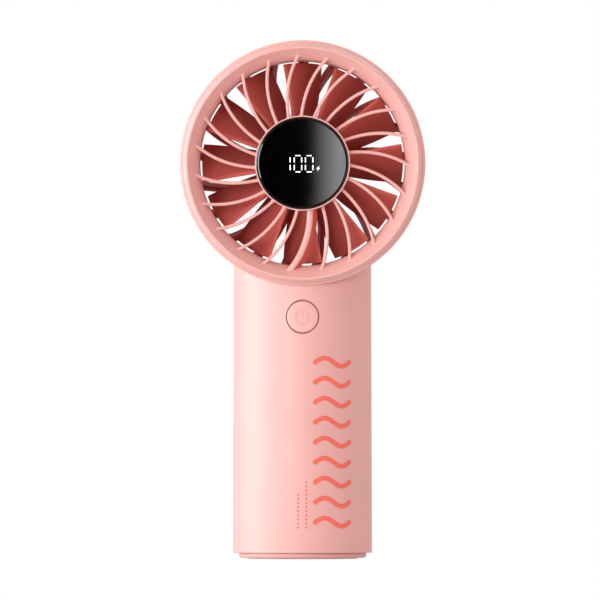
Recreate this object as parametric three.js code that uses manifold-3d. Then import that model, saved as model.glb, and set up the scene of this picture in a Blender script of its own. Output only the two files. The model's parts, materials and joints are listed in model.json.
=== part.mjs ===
// Handheld electric fan: a ducted fan head on a round battery grip.
// Units are millimetres. +Z is up, -Y is the front (the air leaves towards -Y), +X is the viewer's right.
// The origin is the centre of the base on the grip's axis, so the fan stands on z = 0.
// Clockwise angles are measured from the top of the head as seen from the front.

import * as THREE from "three";
import { mergeVertices } from "three/addons/utils/BufferGeometryUtils.js";
import Module from "manifold-3d";

const wasm = await Module();
wasm.setup();

// ---------------------------------------------------------------- driving dimensions

const HEAD_Z = 124.8; // height of the fan's axis
const HEAD_R = 38.7; // outside radius of the head's drum
const GRIP_R = 21.62; // outside radius of the grip where it meets the head
const GRIP_FOOT_R = 21.95; // and at its foot
const WALL = 1.8; // wall of the moulded shell
const GAP = 0.3; // parting line between two mouldings
const FIT = 0.1; // clearance between a part and its seat

const DRUM_FRONT = -22.6;
const DRUM_BACK = 22.6;
const DRUM_BORE_R = HEAD_R - WALL;
const RIM_R = HEAD_R - 0.95; // outside radius of both grille rims
const CREST_R = RIM_R - 1.3; // radius of the foremost line of each rim
const FRONT_Y = -25; // crest of the front rim
const BACK_Y = 25; // crest of the rear rim

const DUCT_R = 32.3; // bore that the blades run in
const DUCT_WALL = 1.4;
const DUCT_FLANGE = 1.5; // thickness of the two flanges that centre the duct in the drum
const DUCT_FRONT = -19.5;
const LINER_BACK = 6.3; // where the duct's front part, a plain tube, ends
const DUCT_BACK = 17;
const THROAT_R = DUCT_R + 0.25; // narrowest radius of the rims' funnels
const RIB_END_R = THROAT_R + 1.6; // radius that the ribs reach inside the rims' walls

const RIB_COUNT = 23;
const RIB_SWEEP = 15; // degrees that a front rib leans from the hub to the rim
const RIB_FRONT = -22.1;
const RIB_BACK = -20.1;
const STRUT_ANGLE = 170.7; // angle at the hub of the one wide rib, which carries the display's lead
const STRUT_SWEEP = 16.3;
const STRUT_BACK = DUCT_FRONT - 0.5;

const CUP_R = 15; // display cup in the middle of the front grille
const CUP_FRONT = -24.4;
const CUP_BACK = -17.2;
const CUP_LEDGE = -23.3; // depth of the step that the lens rests on
const LENS_R = 14.5;

const BLADE_COUNT = 12;
const BLADE_TIP_R = 31.7;
const BLADE_FRONT = -14.6;
const BLADE_BACK = 1.6;
const BLADE_ANGLE = 19.2; // angle of a blade's front edge
const HUB_R = 14;
const HUB_FRONT = -15.6;
const HUB_BACK = 2.6;
const HUB_TOP = 2.2; // thickness of the hub's closed front

const VANE_COUNT = 21;
const VANE_ANGLE = 4.2; // angle at the hub of the first guide vane's front edge
const VANE_SWEEP = 12.8; // degrees that a guide vane leans from the hub to the duct wall
const VANE_TWIST = 3.6; // degrees that its back edge stands ahead of its front edge
const VANE_FRONT = LINER_BACK + GAP;
const VANE_BACK = 15;
const REAR_VANE_BACK = 21.9;

const SEAT_R = 13.4; // motor seat in the middle of the guide vanes
const SEAT_FRONT = 3.4;
const SEAT_BACK = 16.4;
const FLOOR_FRONT = 5.9; // floor of the seat, which the motor is screwed to
const FLOOR_BACK = 7.5;

const SHAFT_R = 0.75;
const CAN_R = 12.3; // the can of the motor's outer rotor
const CAN_FRONT = -13.3;
const CAN_BACK = 1.5;
const CAN_WALL = 0.8;
const STACK = [-9.5, -2.5]; // depths of the stator's laminations
const TOOTH_COUNT = 6;
const MOTOR_SCREW_R = 6.5; // radius of the circle that the motor's screws stand on
const MOTOR_SCREW_ANGLES = [60, 240];

const DISPLAY_LEAD_Y = DUCT_FRONT + 0.3; // depth of the display's lead, just behind the strut
const MOTOR_LEAD_R = 10.6; // radius at which the motor's lead passes the seat's floor
const MOTOR_LEAD_ANGLE = VANE_ANGLE + VANE_TWIST + (360 * 10) / VANE_COUNT; // behind the lowest guide vane
const MOTOR_LEAD_FLANGE = 187; // angle at which it passes the liner's flange

const GRIP_BOTTOM = 1.9;
const SNAP_Z = 5; // height of the bead that holds the base cap in the grip
const BORE_R = GRIP_R - WALL;
const BUTTON_Z = 76.4;
const BUTTON_R = 5;
const PORT_Z = 16.9;

const CELL_R = 9.2;
const CELL_LENGTH = 65;
const CELL_BOTTOM = 12.2;
const CELL_X = CELL_R + FIT;
const CELL_TOP = CELL_BOTTOM + CELL_LENGTH;

const BOARD_FRONT = -11.1;
const BOARD_THICK = 1.2;
const BOARD_BOTTOM = 8;
const BOARD_TOP = 83.5;
const BOARD_SCREWS = [
  [-11, 10],
  [11, 10],
  [-11, 79.5],
  [11, 79.5],
]; // x and z

const PLATE_BOTTOM = [8.5, 11.5]; // heights of the battery carrier's two end plates
const PLATE_TOP = [78.2, 80.8];
const BASE_SCREW_X = 12;
const PORT_SCREW = [5.8, 13.4]; // x and y
const PAD_R = 17.4;

const ROUND = 36; // sides of a large round part
const MEDIUM = 24;
const SMALL = 12;
const TINY = 8;

const degrees = THREE.MathUtils.degToRad;

// ---------------------------------------------------------------- materials

const finish = (color, roughness, metalness = 0) =>
  new THREE.MeshStandardMaterial({ color, roughness, metalness });

const pinkShell = finish(0xf5beb8, 0.45);
const redDuct = finish(0x93302b, 0.5);
const blackLens = finish(0x060607, 0.06);
const whitePlastic = finish(0xf2f2ee, 0.5);
const blackPlastic = finish(0x202022, 0.5);
const greenBoard = finish(0x1f6b43, 0.45);
const steel = finish(0xb9bcc0, 0.3, 1);
const copper = finish(0xb4683a, 0.35, 1);
const brass = finish(0xc9a557, 0.3, 1);
const aluminium = finish(0xc4c6c8, 0.4, 1);
const magnetBlack = finish(0x35363a, 0.5);
const cellWrap = finish(0x3a78b5, 0.4);
const rubber = finish(0xd99a92, 0.8);
const redWire = finish(0xb3231d, 0.5);
const blackWire = finish(0x1b1b1d, 0.5);

// ---------------------------------------------------------------- solids

// A closed geometry as a solid, turned right side out if its faces point inwards.
function solid(geometry) {
  const bare = geometry.clone();
  bare.deleteAttribute("normal");
  bare.deleteAttribute("uv");
  const merged = mergeVertices(bare, 1e-4);
  const vertProperties = new Float32Array(merged.attributes.position.array);
  const triVerts = new Uint32Array(merged.index.array);
  const made = new wasm.Manifold(
    new wasm.Mesh({ numProp: 3, vertProperties, triVerts }),
  );
  if (made.volume() > 0) return made;
  for (let i = 0; i < triVerts.length; i += 3) {
    [triVerts[i + 1], triVerts[i + 2]] = [triVerts[i + 2], triVerts[i + 1]];
  }
  return new wasm.Manifold(
    new wasm.Mesh({ numProp: 3, vertProperties, triVerts }),
  );
}

const join = (...solids) => solids.flat().reduce((a, b) => a.add(b));
const cut = (body, ...tools) => tools.flat().reduce((a, b) => a.subtract(b), body);

// A named mesh of a solid, added to a group.
function piece(group, name, body, material) {
  const { vertProperties, triVerts, numProp } = body.getMesh();
  if (numProp !== 3) throw new Error(`${name} carries more than its positions`);
  const geometry = new THREE.BufferGeometry()
    .setAttribute("position", new THREE.BufferAttribute(vertProperties, 3))
    .setIndex(new THREE.BufferAttribute(triVerts, 1));
  geometry.computeVertexNormals();
  const mesh = new THREE.Mesh(geometry, material);
  mesh.name = name;
  group.add(mesh);
}

const flat = (points) => points.map(([x, y]) => new THREE.Vector2(x, y));

// Points on an ellipse from one angle to another, in degrees.
function arc(cx, cy, rx, ry, from, to, steps) {
  return Array.from({ length: steps + 1 }, (_, i) => {
    const a = degrees(from + ((to - from) * i) / steps);
    return [cx + rx * Math.cos(a), cy + ry * Math.sin(a)];
  });
}

// A profile of [radius, y] points turned round the Y axis. A profile off the axis closes on itself.
function turned(profile, sides) {
  const onAxis = profile[0][0] === 0 && profile.at(-1)[0] === 0;
  const points = onAxis ? profile : [...profile, profile[0]];
  return solid(new THREE.LatheGeometry(flat(points), sides));
}

const disc = (r, y0, y1, sides = SMALL) =>
  turned([[0, y0], [r, y0], [r, y1], [0, y1]], sides);

const ring = (inner, outer, y0, y1, sides = SMALL) =>
  turned([[inner, y0], [outer, y0], [outer, y1], [inner, y1]], sides);

// A solid made round the Y axis, stood up so that its Y becomes +Z.
const upright = (body) => body.rotate([90, 0, 0]);

function block([x0, x1], [y0, y1], [z0, z1]) {
  const box = new THREE.BoxGeometry(x1 - x0, y1 - y0, z1 - z0);
  return solid(box.translate((x0 + x1) / 2, (y0 + y1) / 2, (z0 + z1) / 2));
}

// A flat outline pushed along Y through a range of depths. Its second axis becomes -Z.
function extruded(outline, [y0, y1], hole = []) {
  const shape = new THREE.Shape(flat(outline));
  if (hole.length) shape.holes.push(new THREE.Path(flat(hole)));
  const body = solid(new THREE.ExtrudeGeometry(shape, { depth: y1 - y0, bevelEnabled: false }));
  return body.rotate([-90, 0, 0]).translate([0, y0, 0]);
}

// A round-ended slot, wide along X, running through a range of Y.
function slot(width, height, depths) {
  const r = height / 2;
  const left = arc(r - width / 2, 0, r, r, 90, 270, 6);
  const right = arc(width / 2 - r, 0, r, r, -90, 90, 6);
  return extruded([...right, ...left], depths);
}

// A plate that spans two radii and two depths of the head. At radial share u and depth share v, its
// clockwise angle in degrees is angle(u, v) and its width along the circle is thickness(u, v).
function plate({ radii, depths, angle, thickness, radialSteps, depthSteps }) {
  const box = new THREE.BoxGeometry(1, 1, 1, radialSteps, depthSteps, 1);
  const p = box.attributes.position;
  for (let i = 0; i < p.count; i++) {
    const u = p.getX(i) + 0.5;
    const v = p.getY(i) + 0.5;
    const r = radii[0] + (radii[1] - radii[0]) * u;
    const a = degrees(angle(u, v)) + (thickness(u, v) * p.getZ(i)) / r;
    const y = depths[0] + (depths[1] - depths[0]) * v;
    p.setXYZ(i, r * Math.sin(a), y, r * Math.cos(a));
  }
  return solid(box);
}

const around = (count, make) =>
  Array.from({ length: count }, (_, k) => make(k, (360 * k) / count));

// A point of the head's own frame at a clockwise angle, a radius and a depth, as an array and as a vector.
const polar = (angle, r, y) => [r * Math.sin(degrees(angle)), y, r * Math.cos(degrees(angle))];
const headPoint = (...place) => new THREE.Vector3(...polar(...place));

// A box across a span of radii and depths of the head, at a clockwise angle.
const notch = (angle, radii, depths, width) =>
  block([-width / 2, width / 2], depths, radii).rotate([0, angle, 0]);

// A round lead along a smooth curve through its points.
function lead(points, radius, steps) {
  const section = new THREE.Shape(flat(arc(0, 0, radius, radius, 0, 300, 5)));
  const extrudePath = new THREE.CatmullRomCurve3(points, false, "centripetal");
  return solid(new THREE.ExtrudeGeometry(section, { steps, extrudePath }));
}

// A pan-head screw along Y with its head's underside at y = 0 and its shank running to y = length.
const screw = (shankR, headR, headHeight, length) =>
  turned(
    [
      [0, -headHeight],
      [headR * 0.7, -headHeight],
      [headR, -headHeight * 0.5],
      [headR, 0],
      [shankR, 0],
      [shankR, length],
      [0, length],
    ],
    TINY,
  );

// ---------------------------------------------------------------- shell

// The drum and the grip's tube are one moulding. An inside ledge in the drum stops the guide vanes' flange.
function mainShell() {
  const edge = 1; // rounding of the drum's ends
  const ledge = DUCT_BACK - DUCT_FLANGE - GAP;
  const drumSkin = [
    [DRUM_BORE_R, DRUM_FRONT],
    ...arc(HEAD_R - edge, DRUM_FRONT + edge, edge, edge, -90, 0, 2),
    ...arc(HEAD_R - edge, DRUM_BACK - edge, edge, edge, 0, 90, 2),
    [DRUM_BORE_R, DRUM_BACK],
    [DRUM_BORE_R, ledge],
    [DRUM_BORE_R - 1.4, ledge],
    [DRUM_BORE_R - 1.4, ledge - 1.4],
    [DRUM_BORE_R, ledge - 2.8],
  ];
  const lift = [0, 0, HEAD_Z];
  const drum = turned(drumSkin, ROUND).translate(lift);
  const inDrum = disc(HEAD_R - 0.5, DRUM_FRONT - 5, DRUM_BACK + 5, ROUND).translate(lift);
  const tubeTop = HEAD_Z - 28;
  const tube = upright(
    turned(
      [
        [BORE_R, GRIP_BOTTOM],
        [GRIP_FOOT_R - 0.5, GRIP_BOTTOM],
        [GRIP_FOOT_R, GRIP_BOTTOM + 0.5],
        [GRIP_R, tubeTop],
        [BORE_R, tubeTop],
        [BORE_R, SNAP_Z + 0.7],
        [BORE_R + 0.5, SNAP_Z],
        [BORE_R, SNAP_Z - 0.7],
      ],
      ROUND,
    ),
  );
  const stopHeights = [PLATE_TOP[1] + GAP, PLATE_TOP[1] + 2];
  const stop = block([BORE_R - 2, BORE_R + 0.4], [-1.5, 1.5], stopHeights);
  const carrierStops = [0, 90, 180].map((turn) => stop.rotate([0, 0, turn]));
  const buttonHole = disc(BUTTON_R + 0.26, -GRIP_R - 2, -10, MEDIUM).translate([0, 0, BUTTON_Z]);
  const portPocket = slot(13, 7, [20.5, GRIP_R + 2]).translate([0, 0, PORT_Z]);
  const portSlot = slot(9.6, 3.9, [15, GRIP_R + 2]).translate([0, 0, PORT_Z]);
  const leadHole = block([-5, 5], [-10, 10], [HEAD_Z - HEAD_R - 3, HEAD_Z - DRUM_BORE_R + 3]);
  return cut(join(cut(tube, inDrum), drum, carrierStops), buttonHole, portPocket, portSlot, leadHole);
}

// ---------------------------------------------------------------- front grille and display

// Share of a rib's lean that it has reached at radial share u: it starts nearly radial and bends over.
const lean = (u) => 0.68 * u + 0.32 * u * u;

// Section of a grille's rim: an outer bevel, a crest, a funnel that narrows to the duct, and a skirt that
// plugs into the drum.
function rimSection(crestY, drumY, throatY, skirtY) {
  const side = Math.sign(crestY);
  const seatY = drumY + side * GAP;
  return [
    [RIM_R, seatY],
    [RIM_R, seatY + side * 0.35],
    [CREST_R + 0.35, crestY - side * 0.2],
    [CREST_R, crestY],
    [CREST_R - 0.4, crestY - side * 0.2],
    [THROAT_R + 1, crestY - side * 3.5],
    [THROAT_R + 0.3, crestY - side * 4.4],
    [THROAT_R, throatY],
    [THROAT_R + 1.2, throatY],
    [DRUM_BORE_R - 1.6, seatY],
    [DRUM_BORE_R - 1.6, skirtY],
    [DRUM_BORE_R - GAP, skirtY],
    [DRUM_BORE_R - GAP, seatY],
  ];
}

function frontGrille() {
  const rim = turned(rimSection(FRONT_Y, DRUM_FRONT, DUCT_FRONT - GAP, DUCT_FRONT + 1), ROUND);
  const ribs = around(RIB_COUNT, (k, turn) => (k === 0 ? strut() : rib(STRUT_ANGLE + turn)));
  const cup = turned(
    [
      [0, CUP_BACK],
      [CUP_R - 0.8, CUP_BACK],
      [CUP_R, CUP_BACK - 0.8],
      [CUP_R, CUP_FRONT],
      [LENS_R + FIT, CUP_FRONT],
      [LENS_R + FIT, CUP_LEDGE],
      [LENS_R - 0.9, CUP_LEDGE],
      [LENS_R - 0.9, CUP_BACK - 1.2],
      [0, CUP_BACK - 1.2],
    ],
    ROUND,
  );
  const leadHole = notch(STRUT_ANGLE, [12, 17], [DISPLAY_LEAD_Y - 0.6, DISPLAY_LEAD_Y + 0.6], 1.4);
  return cut(join(rim, cup, ribs), leadHole);
}

const rib = (angle) =>
  plate({
    radii: [CUP_R - 0.4, RIB_END_R],
    depths: [RIB_FRONT, RIB_BACK],
    angle: (u) => angle + RIB_SWEEP * lean(u),
    thickness: (u) => 1 + 0.2 * u,
    radialSteps: 3,
    depthSteps: 1,
  });

// The wide rib's left side is straight. Its right side spreads as it goes back, to cover the display's lead.
function strut() {
  const faceWidth = 2;
  const spread = (u, v) => (1.5 + 0.7 * u) * v;
  const [inner, outer] = [CUP_R - 0.4, RIB_END_R];
  return plate({
    radii: [inner, outer],
    depths: [RIB_FRONT - 0.2, STRUT_BACK],
    angle: (u, v) => {
      const r = inner + (outer - inner) * u;
      return STRUT_ANGLE + STRUT_SWEEP * lean(u) - THREE.MathUtils.radToDeg(spread(u, v) / 2 / r);
    },
    thickness: (u, v) => faceWidth + spread(u, v),
    radialSteps: 3,
    depthSteps: 1,
  });
}

function buildDisplay(head) {
  const back = CUP_LEDGE - FIT;
  const lens = turned(
    [
      [0, back],
      [LENS_R, back],
      [LENS_R, back - 0.6],
      [LENS_R - 0.9, back - 1.2],
      [LENS_R * 0.5, back - 1.43],
      [0, back - 1.5],
    ],
    ROUND,
  );
  piece(head, "display_lens", lens, blackLens);
  piece(head, "display_led_module", block([-8, 8], [-23.2, -21], [-4.5, 4.5]), whitePlastic);
  piece(head, "display_board", disc(LENS_R - 1.2, -20.9, -19.9, MEDIUM), greenBoard);
}

// ---------------------------------------------------------------- duct and rear grille

const guideVane = (angle) =>
  plate({
    radii: [SEAT_R - 0.5, DUCT_R + 0.5],
    depths: [VANE_FRONT, VANE_BACK],
    angle: (u, v) => angle + VANE_SWEEP * lean(u) + VANE_TWIST * v,
    thickness: (u) => 0.9 + 0.3 * u,
    radialSteps: 3,
    depthSteps: 1,
  });

// The tube that the blades run in, with a flange that centres its back end in the drum.
function ductLiner() {
  const mouth = 0.7; // how far the front edge opens out
  const tube = turned(
    [
      [DUCT_R + mouth, DUCT_FRONT],
      [DUCT_R + DUCT_WALL, DUCT_FRONT],
      [DUCT_R + DUCT_WALL, LINER_BACK - DUCT_FLANGE],
      [DRUM_BORE_R - GAP, LINER_BACK - DUCT_FLANGE],
      [DRUM_BORE_R - GAP, LINER_BACK],
      [DUCT_R, LINER_BACK],
      [DUCT_R, DUCT_FRONT + 2],
    ],
    ROUND,
  );
  return cut(
    tube,
    notch(STRUT_ANGLE + STRUT_SWEEP, [30, 36], [DUCT_FRONT - 1, DUCT_FRONT + 1.2], 2.4),
    notch(MOTOR_LEAD_FLANGE, [DUCT_R + DUCT_WALL, 38], [LINER_BACK - 3, LINER_BACK + 1], 7),
  );
}

// The back of the duct, its guide vanes and the motor's seat are one moulding.
function guideVanes() {
  const wall = turned(
    [
      [DUCT_R, VANE_FRONT],
      [DUCT_R + DUCT_WALL, VANE_FRONT],
      [DUCT_R + DUCT_WALL, DUCT_BACK - DUCT_FLANGE],
      [DRUM_BORE_R - GAP, DUCT_BACK - DUCT_FLANGE],
      [DRUM_BORE_R - GAP, DUCT_BACK],
      [DUCT_R, DUCT_BACK],
    ],
    ROUND,
  );
  const seat = turned(
    [
      [SEAT_R - 1.4, SEAT_FRONT],
      [SEAT_R, SEAT_FRONT],
      [SEAT_R, SEAT_BACK],
      [SEAT_R - 1.4, SEAT_BACK],
      [SEAT_R - 1.4, FLOOR_BACK],
      [1, FLOOR_BACK],
      [1, FLOOR_FRONT],
      [SEAT_R - 1.4, FLOOR_FRONT],
    ],
    MEDIUM,
  );
  const vanes = around(VANE_COUNT, (_, turn) => guideVane(VANE_ANGLE + turn));
  const floorHole = disc(1, 2, 10, TINY).translate(polar(MOTOR_LEAD_ANGLE, MOTOR_LEAD_R, 0));
  const leadDepths = [VANE_BACK + 0.02, DUCT_BACK + 1];
  const leadNotches = [
    notch(MOTOR_LEAD_ANGLE, [10, 15], leadDepths, 2),
    notch(MOTOR_LEAD_ANGLE + VANE_SWEEP, [30, 38], leadDepths, 2.4),
  ];
  return cut(join(wall, seat, vanes), motorScrewHoles(), floorHole, leadNotches);
}

const motorScrewHoles = () =>
  MOTOR_SCREW_ANGLES.map((angle) => disc(0.95, 2, 10, TINY).translate(polar(angle, MOTOR_SCREW_R, 0)));

function rearGrille() {
  const front = DUCT_BACK + GAP;
  const capFront = SEAT_BACK + GAP;
  const capBack = REAR_VANE_BACK - GAP;
  const rim = turned(rimSection(BACK_Y, DRUM_BACK, front, front), ROUND);
  const cap = turned(
    [
      [0, capBack],
      [SEAT_R - 1, capBack],
      [SEAT_R, capBack - 1],
      [SEAT_R, capFront],
      [SEAT_R - 1.3, capFront],
      [SEAT_R - 1.3, capBack - 1.3],
      [0, capBack - 1.3],
    ],
    MEDIUM,
  );
  const vanes = around(VANE_COUNT, (_, turn) =>
    plate({
      radii: [SEAT_R - 0.5, RIB_END_R],
      depths: [front, REAR_VANE_BACK],
      angle: (u) => VANE_ANGLE + turn + VANE_TWIST / 2 + VANE_SWEEP * lean(u),
      thickness: (u) => 0.9 + 0.5 * u,
      radialSteps: 3,
      depthSteps: 1,
    }),
  );
  return join(rim, cap, vanes);
}

// ---------------------------------------------------------------- rotor

function blade(angle) {
  const hubSweep = 26.1; // degrees from a blade's front edge to its back edge at the hub
  const tipSweep = 21.6;
  return plate({
    radii: [HUB_R - 0.6, BLADE_TIP_R],
    depths: [BLADE_FRONT, BLADE_BACK],
    angle: (u, v) => angle + (hubSweep + (tipSweep - hubSweep) * u) * v,
    thickness: (u) => 1.5 - 0.5 * u,
    radialSteps: 2,
    depthSteps: 3,
  });
}

function impeller() {
  const hub = turned(
    [
      [0, HUB_FRONT],
      [HUB_R - 2, HUB_FRONT],
      [HUB_R, HUB_FRONT + 2],
      [HUB_R, HUB_BACK],
      [CAN_R + FIT, HUB_BACK],
      [CAN_R + FIT, HUB_FRONT + HUB_TOP],
      [SHAFT_R + FIT, HUB_FRONT + HUB_TOP],
      [SHAFT_R + FIT, HUB_FRONT + 0.5],
      [0, HUB_FRONT + 0.5],
    ],
    MEDIUM,
  );
  return join(hub, around(BLADE_COUNT, (_, turn) => blade(BLADE_ANGLE + turn)));
}

function buildRotor(head) {
  piece(head, "impeller", impeller(), redDuct);
  const can = turned(
    [
      [SHAFT_R + FIT, CAN_FRONT],
      [CAN_R, CAN_FRONT],
      [CAN_R, CAN_BACK],
      [CAN_R - CAN_WALL, CAN_BACK],
      [CAN_R - CAN_WALL, CAN_FRONT + CAN_WALL],
      [SHAFT_R + FIT, CAN_FRONT + CAN_WALL],
    ],
    MEDIUM,
  );
  piece(head, "rotor_can", can, steel);
  const magnet = ring(10, CAN_R - CAN_WALL - FIT, CAN_FRONT + 1.5, CAN_BACK - 0.5, MEDIUM);
  piece(head, "rotor_magnet", magnet, magnetBlack);
  piece(head, "rotor_shaft", disc(SHAFT_R, -15, 4.9, SMALL), steel);
  piece(head, "shaft_clip", ring(SHAFT_R + 0.05, 1.5, 4.4, 4.8, SMALL), steel);
}

// ---------------------------------------------------------------- motor

function statorCore() {
  const half = [
    [4.6, 14],
    [8.3, 8.3],
    [8.6, 22],
    [9.6, 24],
    [9.6, 8],
  ]; // radius and angle along one side of a tooth
  const tooth = [...half.map(([r, a]) => [r, -a]), ...half.toReversed()];
  const outline = around(TOOTH_COUNT, (_, turn) =>
    tooth.map(([r, a]) => [r * Math.cos(degrees(turn + a)), r * Math.sin(degrees(turn + a))]),
  );
  return extruded(outline.flat(), STACK, arc(0, 0, 3.1, 3.1, 0, 345, 23));
}

// One coil: a rounded box with a window for its tooth, which points along +X.
function coil() {
  const outer = [STACK[0] - 1.4, STACK[1] + 1.4];
  const halfWidth = 2.6;
  const body = block([5, 8], outer, [-halfWidth, halfWidth]);
  const cornerCut = block([4, 9], [-0.7, 0.7], [-0.7, 0.7]).rotate([45, 0, 0]);
  const corners = [-halfWidth, halfWidth].flatMap((z) => outer.map((y) => cornerCut.translate([0, y, z])));
  return cut(body, block([4, 9], [STACK[0] - FIT, STACK[1] + FIT], [-1.35, 1.35]), corners);
}

function buildMotor(head) {
  piece(head, "stator_core", statorCore(), steel);
  around(TOOTH_COUNT, (k, turn) => piece(head, `coil_${k + 1}`, coil().rotate([0, turn, 0]), copper));
  const flange = turned(
    [
      [0, 5.2],
      [2.1, 5.2],
      [2.1, -10.5],
      [3, -10.5],
      [3, 4.2],
      [9.5, 4.2],
      [9.5, 5.8],
      [0, 5.8],
    ],
    SMALL,
  );
  piece(head, "motor_flange", cut(flange, motorScrewHoles()), brass);
  piece(head, "motor_board", ring(3.2, 9, 2.6, 3.4, SMALL), greenBoard);
  piece(head, "bearing_front", ring(SHAFT_R + 0.08, 2, -10.2, -8, SMALL), steel);
  piece(head, "bearing_rear", ring(SHAFT_R + 0.08, 2, 2, 4.2, SMALL), steel);
  MOTOR_SCREW_ANGLES.forEach((angle, k) => {
    const body = screw(0.8, 1.6, 1, 3).rotate([180, 0, 0]);
    const place = polar(angle, MOTOR_SCREW_R, FLOOR_BACK + FIT);
    piece(head, `motor_screw_${k + 1}`, body.translate(place), steel);
  });
}

// ---------------------------------------------------------------- leads in the head

// Points that follow a leaning rib or vane outwards, at one depth.
function alongRib(angle, sweep, from, to, y) {
  const shares = [0.15, 0.4, 0.65, 0.9];
  return shares.map((u) => headPoint(angle + sweep * lean(u), from + (to - from) * u, y));
}

function buildHeadLeads(head) {
  const inGrip = (x, y, z) => new THREE.Vector3(x, y, z - HEAD_Z);
  const displayRim = STRUT_ANGLE + STRUT_SWEEP;
  const display = [
    headPoint(STRUT_ANGLE, 12.6, DISPLAY_LEAD_Y),
    ...alongRib(STRUT_ANGLE, STRUT_SWEEP, CUP_R, THROAT_R + 0.9, DISPLAY_LEAD_Y),
    headPoint(displayRim, 34, DISPLAY_LEAD_Y + 0.1),
    headPoint(displayRim, 34.62, DISPLAY_LEAD_Y + 1.2),
    headPoint(displayRim, 34.62, DISPLAY_LEAD_Y + 6),
    headPoint(182, 35.4, -9),
    inGrip(-2, -8.5, 86.8),
    inGrip(-3, -9.2, 85.4),
    inGrip(-4.5, -10.5, 84.6),
    inGrip(-6, -12.2, 84.3),
    inGrip(-6, -12.9, 82.6),
    inGrip(-6, -12.9, 81.7),
  ];
  piece(head, "display_lead", lead(display, 0.45, 36), blackWire);

  const behindVane = VANE_BACK + 0.75;
  const motorRim = MOTOR_LEAD_ANGLE + VANE_SWEEP;
  const motor = [
    headPoint(MOTOR_LEAD_ANGLE, 9.6, 3),
    headPoint(MOTOR_LEAD_ANGLE, MOTOR_LEAD_R, 3.6),
    headPoint(MOTOR_LEAD_ANGLE, MOTOR_LEAD_R, 8),
    headPoint(MOTOR_LEAD_ANGLE, MOTOR_LEAD_R, 13.5),
    headPoint(MOTOR_LEAD_ANGLE, 11.4, behindVane),
    ...alongRib(MOTOR_LEAD_ANGLE, VANE_SWEEP, SEAT_R, DUCT_R, behindVane),
    headPoint(motorRim, 34, behindVane),
    headPoint(motorRim, 34.9, behindVane - 1.5),
    headPoint(motorRim, 34.7, behindVane - 5),
    headPoint(186, 35.2, 6),
    inGrip(2, 2, 87.4),
    inGrip(4, -3, 85),
    inGrip(6, -9, 84.6),
    inGrip(6, -12.2, 84.3),
    inGrip(6, -12.9, 82.6),
    inGrip(6, -12.9, 81.7),
  ];
  piece(head, "motor_lead", lead(motor, 0.5, 38), blackWire);
}

// ---------------------------------------------------------------- button and switch

function buildButton(grip) {
  const capFront = upright(disc(GRIP_R + 0.2, BUTTON_Z - 9, BUTTON_Z + 9, ROUND));
  const column = turned(
    [
      [0, -GRIP_R - 2],
      [BUTTON_R, -GRIP_R - 2],
      [BUTTON_R, -18.3],
      [6.1, -18.3],
      [6.1, -17.3],
      [1.6, -17.3],
      [1.6, -15.8],
      [0, -15.8],
    ],
    MEDIUM,
  ).translate([0, 0, BUTTON_Z]);
  piece(grip, "power_button", column.intersect(capFront), pinkShell);
  const plunger = disc(1.5, -15.5, -14.3, SMALL).translate([0, 0, BUTTON_Z]);
  piece(grip, "switch_plunger", plunger, blackPlastic);
  const body = block([-3, 3], [-14.6, BOARD_FRONT - FIT], [BUTTON_Z - 3, BUTTON_Z + 3]);
  const well = disc(1.65, -15, -13.7, SMALL).translate([0, 0, BUTTON_Z]);
  piece(grip, "switch_body", cut(body, well), steel);
}

// ---------------------------------------------------------------- boards

function buildMainBoard(grip) {
  const boardY = [BOARD_FRONT, BOARD_FRONT + BOARD_THICK];
  const plateBody = block([-15, 15], boardY, [BOARD_BOTTOM, BOARD_TOP]);
  const holes = BOARD_SCREWS.map(([x, z]) => disc(1, -13, -8, TINY).translate([x, 0, z]));
  piece(grip, "main_board", cut(plateBody, holes), greenBoard);
  BOARD_SCREWS.forEach(([x, z], k) => {
    const body = screw(0.85, 1.7, 1, 4.2).translate([x, BOARD_FRONT - FIT, z]);
    piece(grip, `board_screw_${k + 1}`, body, steel);
  });
  const onBoard = (name, x, z, width, height, depth, material) =>
    piece(
      grip,
      name,
      block(
        [x - width / 2, x + width / 2],
        [BOARD_FRONT - FIT - depth, BOARD_FRONT - FIT],
        [z - height / 2, z + height / 2],
      ),
      material,
    );
  onBoard("controller_chip", 0, 60, 7, 7, 1, blackPlastic);
  onBoard("power_inductor", -7, 46, 6.5, 6.5, 3, magnetBlack);
  onBoard("display_connector", -6, 79.6, 5, 4, 2.8, whitePlastic);
  onBoard("motor_connector", 6, 79.6, 6, 4, 2.8, whitePlastic);
  onBoard("battery_connector", 0, 81.6, 5, 3.2, 3, whitePlastic);
  onBoard("charge_connector", 5, 17, 6, 4, 2.8, whitePlastic);
  const capacitor = upright(disc(2.5, 40, 50, SMALL)).translate([7, BOARD_FRONT - FIT - 2.5, 0]);
  piece(grip, "bulk_capacitor", capacitor, aluminium);
}

function buildPort(grip) {
  const boardZ = [PORT_Z - 2.7, PORT_Z - 1.7];
  const plateBody = block([-7, 7], [11.6, 18], boardZ);
  const hole = upright(disc(1, boardZ[0] - 1, boardZ[1] + 1, TINY)).translate([...PORT_SCREW, 0]);
  piece(grip, "port_board", cut(plateBody, hole), greenBoard);
  const fixing = upright(screw(0.85, 1.1, 0.8, 2.6).rotate([180, 0, 0]));
  piece(grip, "port_screw", fixing.translate([...PORT_SCREW, boardZ[1] + FIT]), steel);
  const shellDepth = [12.9, 20.3];
  const outside = slot(8.94, 3.2, shellDepth);
  const inside = slot(8.3, 2.5, [shellDepth[0] + 0.5, shellDepth[1] + 1]);
  piece(grip, "port_receptacle", cut(outside, inside).translate([0, 0, PORT_Z]), steel);
  const tongue = block([-3.3, 3.3], [13.5, 19.6], [PORT_Z - 0.35, PORT_Z + 0.35]);
  piece(grip, "port_tongue", tongue, blackPlastic);
}

// ---------------------------------------------------------------- battery and carrier

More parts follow.
